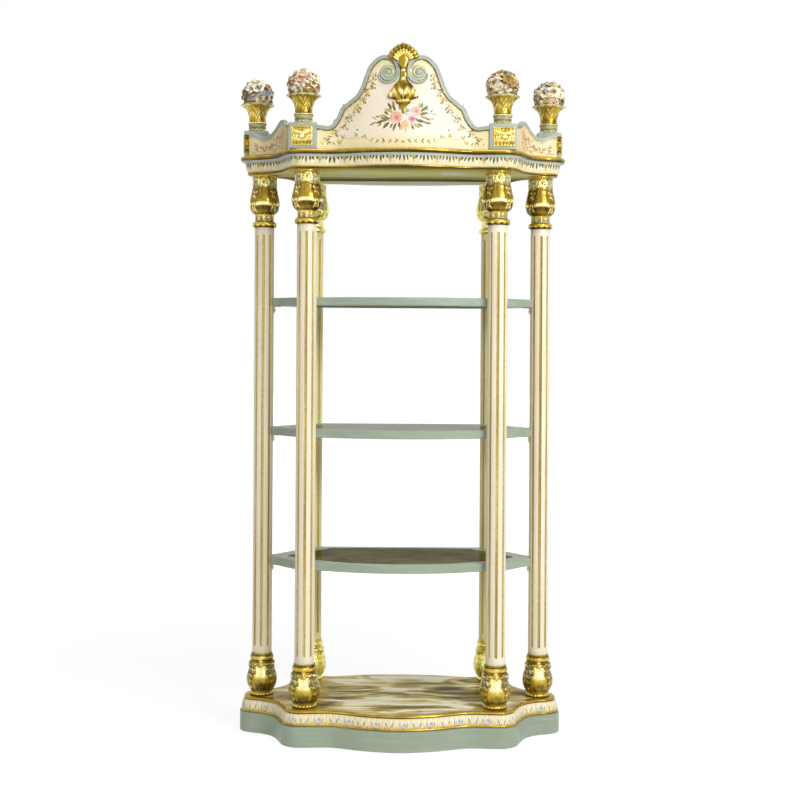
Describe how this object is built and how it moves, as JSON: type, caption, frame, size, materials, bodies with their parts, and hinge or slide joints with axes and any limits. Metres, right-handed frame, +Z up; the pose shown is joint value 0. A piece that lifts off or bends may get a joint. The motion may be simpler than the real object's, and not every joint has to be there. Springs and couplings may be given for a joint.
{
  "type": "display shelf",
  "caption": "Serpentine display shelf on fluted columns with framed glass shelves, carved gilded capitals, a painted scrolled pediment and flower-ball finials.",
  "frame": {"origin": "middle of the footprint on the floor", "axes": "+Z up, -Y towards the front with the pediment, +X to the viewer's right"},
  "size_m": [1.126, 0.636, 2.315],
  "materials": {
    "painted_green": "grey-green paint, satin",
    "painted_cream": "cream paint with painted sprays, satin",
    "column_cream": "cream paint with gilded flutes",
    "gilding": "polished gold leaf on carved wood",
    "marbled_panel": "gold and cream marbled lacquer",
    "smoked_glass": "smoked, polished",
    "brass": "polished",
    "flower_ball": "carved blossoms, painted and gilded"
  },
  "bodies": {
    "root": {"plinth": "painted_green", "base_moulding": "painted_cream", "base_panel": "marbled_panel", "foot_front_left": "gilding", "foot_front_right": "gilding", "foot_outer_left": "gilding", "foot_outer_right": "gilding", "foot_back_left": "gilding", "foot_back_right": "gilding", "shaft_front_left": "column_cream", "shaft_front_right": "column_cream", "shaft_outer_left": "column_cream", "shaft_outer_right": "column_cream", "shaft_back_left": "column_cream", "shaft_back_right": "column_cream", "capital_front_left": "gilding", "capital_front_right": "gilding", "capital_outer_left": "gilding", "capital_outer_right": "gilding", "capital_back_left": "gilding", "capital_back_right": "gilding", "shelf_frame_1": "painted_green", "shelf_glass_1": "smoked_glass", "bracket_1_outer_left": "brass", "bracket_1_outer_right": "brass", "bracket_1_back_left": "brass", "bracket_1_back_right": "brass", "shelf_frame_2": "painted_green", "shelf_glass_2": "smoked_glass", "bracket_2_outer_left": "brass", "bracket_2_outer_right": "brass", "bracket_2_back_left": "brass", "bracket_2_back_right": "brass", "shelf_frame_3": "painted_green", "shelf_glass_3": "smoked_glass", "bracket_3_outer_left": "brass", "bracket_3_outer_right": "brass", "bracket_3_back_left": "brass", "bracket_3_back_right": "brass", "soffit_panel": "marbled_panel", "cornice_moulding": "painted_cream", "crown_moulding": "gilding", "wing_left": "painted_cream", "wing_right": "painted_cream", "die_front_left": "painted_green", "die_front_right": "painted_green", "die_outer_left": "painted_green", "die_outer_right": "painted_green", "pediment_panel": "painted_cream", "pediment_trim_left": "painted_green", "pediment_trim_right": "painted_green", "crest_carving": "gilding", "finial_vase_front_left": "gilding", "flower_ball_front_left": "flower_ball", "finial_vase_front_right": "gilding", "flower_ball_front_right": "flower_ball", "finial_vase_outer_left": "gilding", "flower_ball_outer_left": "flower_ball", "finial_vase_outer_right": "gilding", "flower_ball_outer_right": "flower_ball"}
  },
  "joints": []
}
